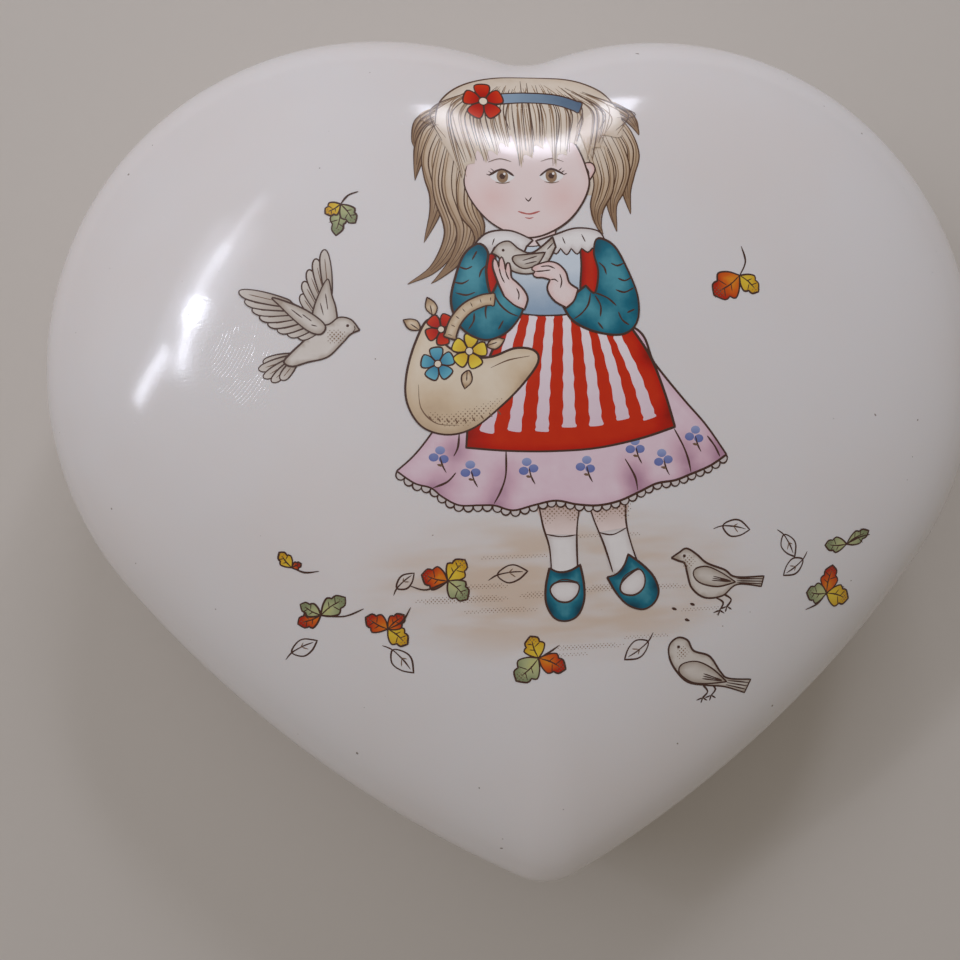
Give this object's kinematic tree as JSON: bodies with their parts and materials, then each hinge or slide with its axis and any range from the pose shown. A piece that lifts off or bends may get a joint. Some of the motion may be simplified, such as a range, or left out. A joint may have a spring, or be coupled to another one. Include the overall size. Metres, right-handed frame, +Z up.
{
  "type": "heart-shaped trinket box",
  "caption": "Heart-shaped glazed porcelain trinket box: a deep dish on a foot ring, and a domed lid with a locating flange that lifts off.",
  "frame": {"origin": "on the surface that the box stands on, under the middle of the heart's width and depth", "axes": "+Z up, the way the lid lifts; +Y towards the notch between the lobes, -Y towards the tip; +X across the heart's width"},
  "size_m": [0.115, 0.103, 0.048],
  "materials": {
    "dish_glaze": "gloss",
    "lid_glaze": "gloss"
  },
  "bodies": {
    "dish": {"base_dish": "dish_glaze"},
    "lid": {"lid": "lid_glaze"}
  },
  "joints": [
    {"name": "lid_lift", "type": "slide", "parent": "dish", "child": "lid", "axis": [0, 0, 1], "range_m": [0, 0.06]}
  ]
}
